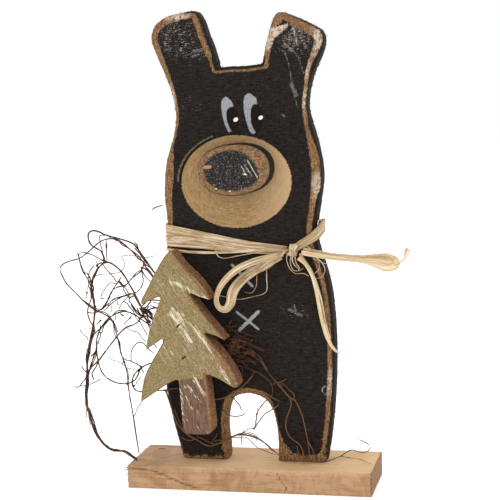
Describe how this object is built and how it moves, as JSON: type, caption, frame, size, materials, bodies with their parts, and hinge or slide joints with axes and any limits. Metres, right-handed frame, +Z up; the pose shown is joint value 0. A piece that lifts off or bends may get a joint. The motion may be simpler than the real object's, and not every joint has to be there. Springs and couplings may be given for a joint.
{
  "type": "wooden cut-out bear on plinth",
  "caption": "Flat painted board bear with a round nose block, standing on a board plinth, with a small board tree, a raffia bow at the neck and a tangle of dried vine.",
  "frame": {"origin": "centre of the plinth's flat underside", "axes": "+Z up along the bear's height; the painted front faces -Y; +X towards the bear's own left, the viewer's right"},
  "size_m": [0.2747, 0.0636, 0.3782],
  "materials": {
    "raw_pine": "bare planed pine, rough sawn ends",
    "black_paint": "matt near-black paint over rough sawn wood, sanded back to stained wood along every edge",
    "stained_nose": "stained wood with a rubbed black centre",
    "tree_paint": "matt sage paint with a mauve-brown trunk, sanded back along every edge",
    "staple_steel": "darkened steel wire",
    "raffia": "dry straw-coloured raffia",
    "vine": "dry dark brown vine bark"
  },
  "bodies": {
    "root": {"plinth": "raw_pine", "bear_board": "black_paint", "nose_block": "stained_nose", "tree_board": "tree_paint", "tree_staple_upper": "staple_steel", "tree_staple_lower": "staple_steel", "raffia_neck_tie": "raffia", "raffia_loop_left": "raffia", "raffia_loop_right": "raffia", "raffia_tail": "raffia", "vine_tangle": "vine"}
  },
  "joints": []
}
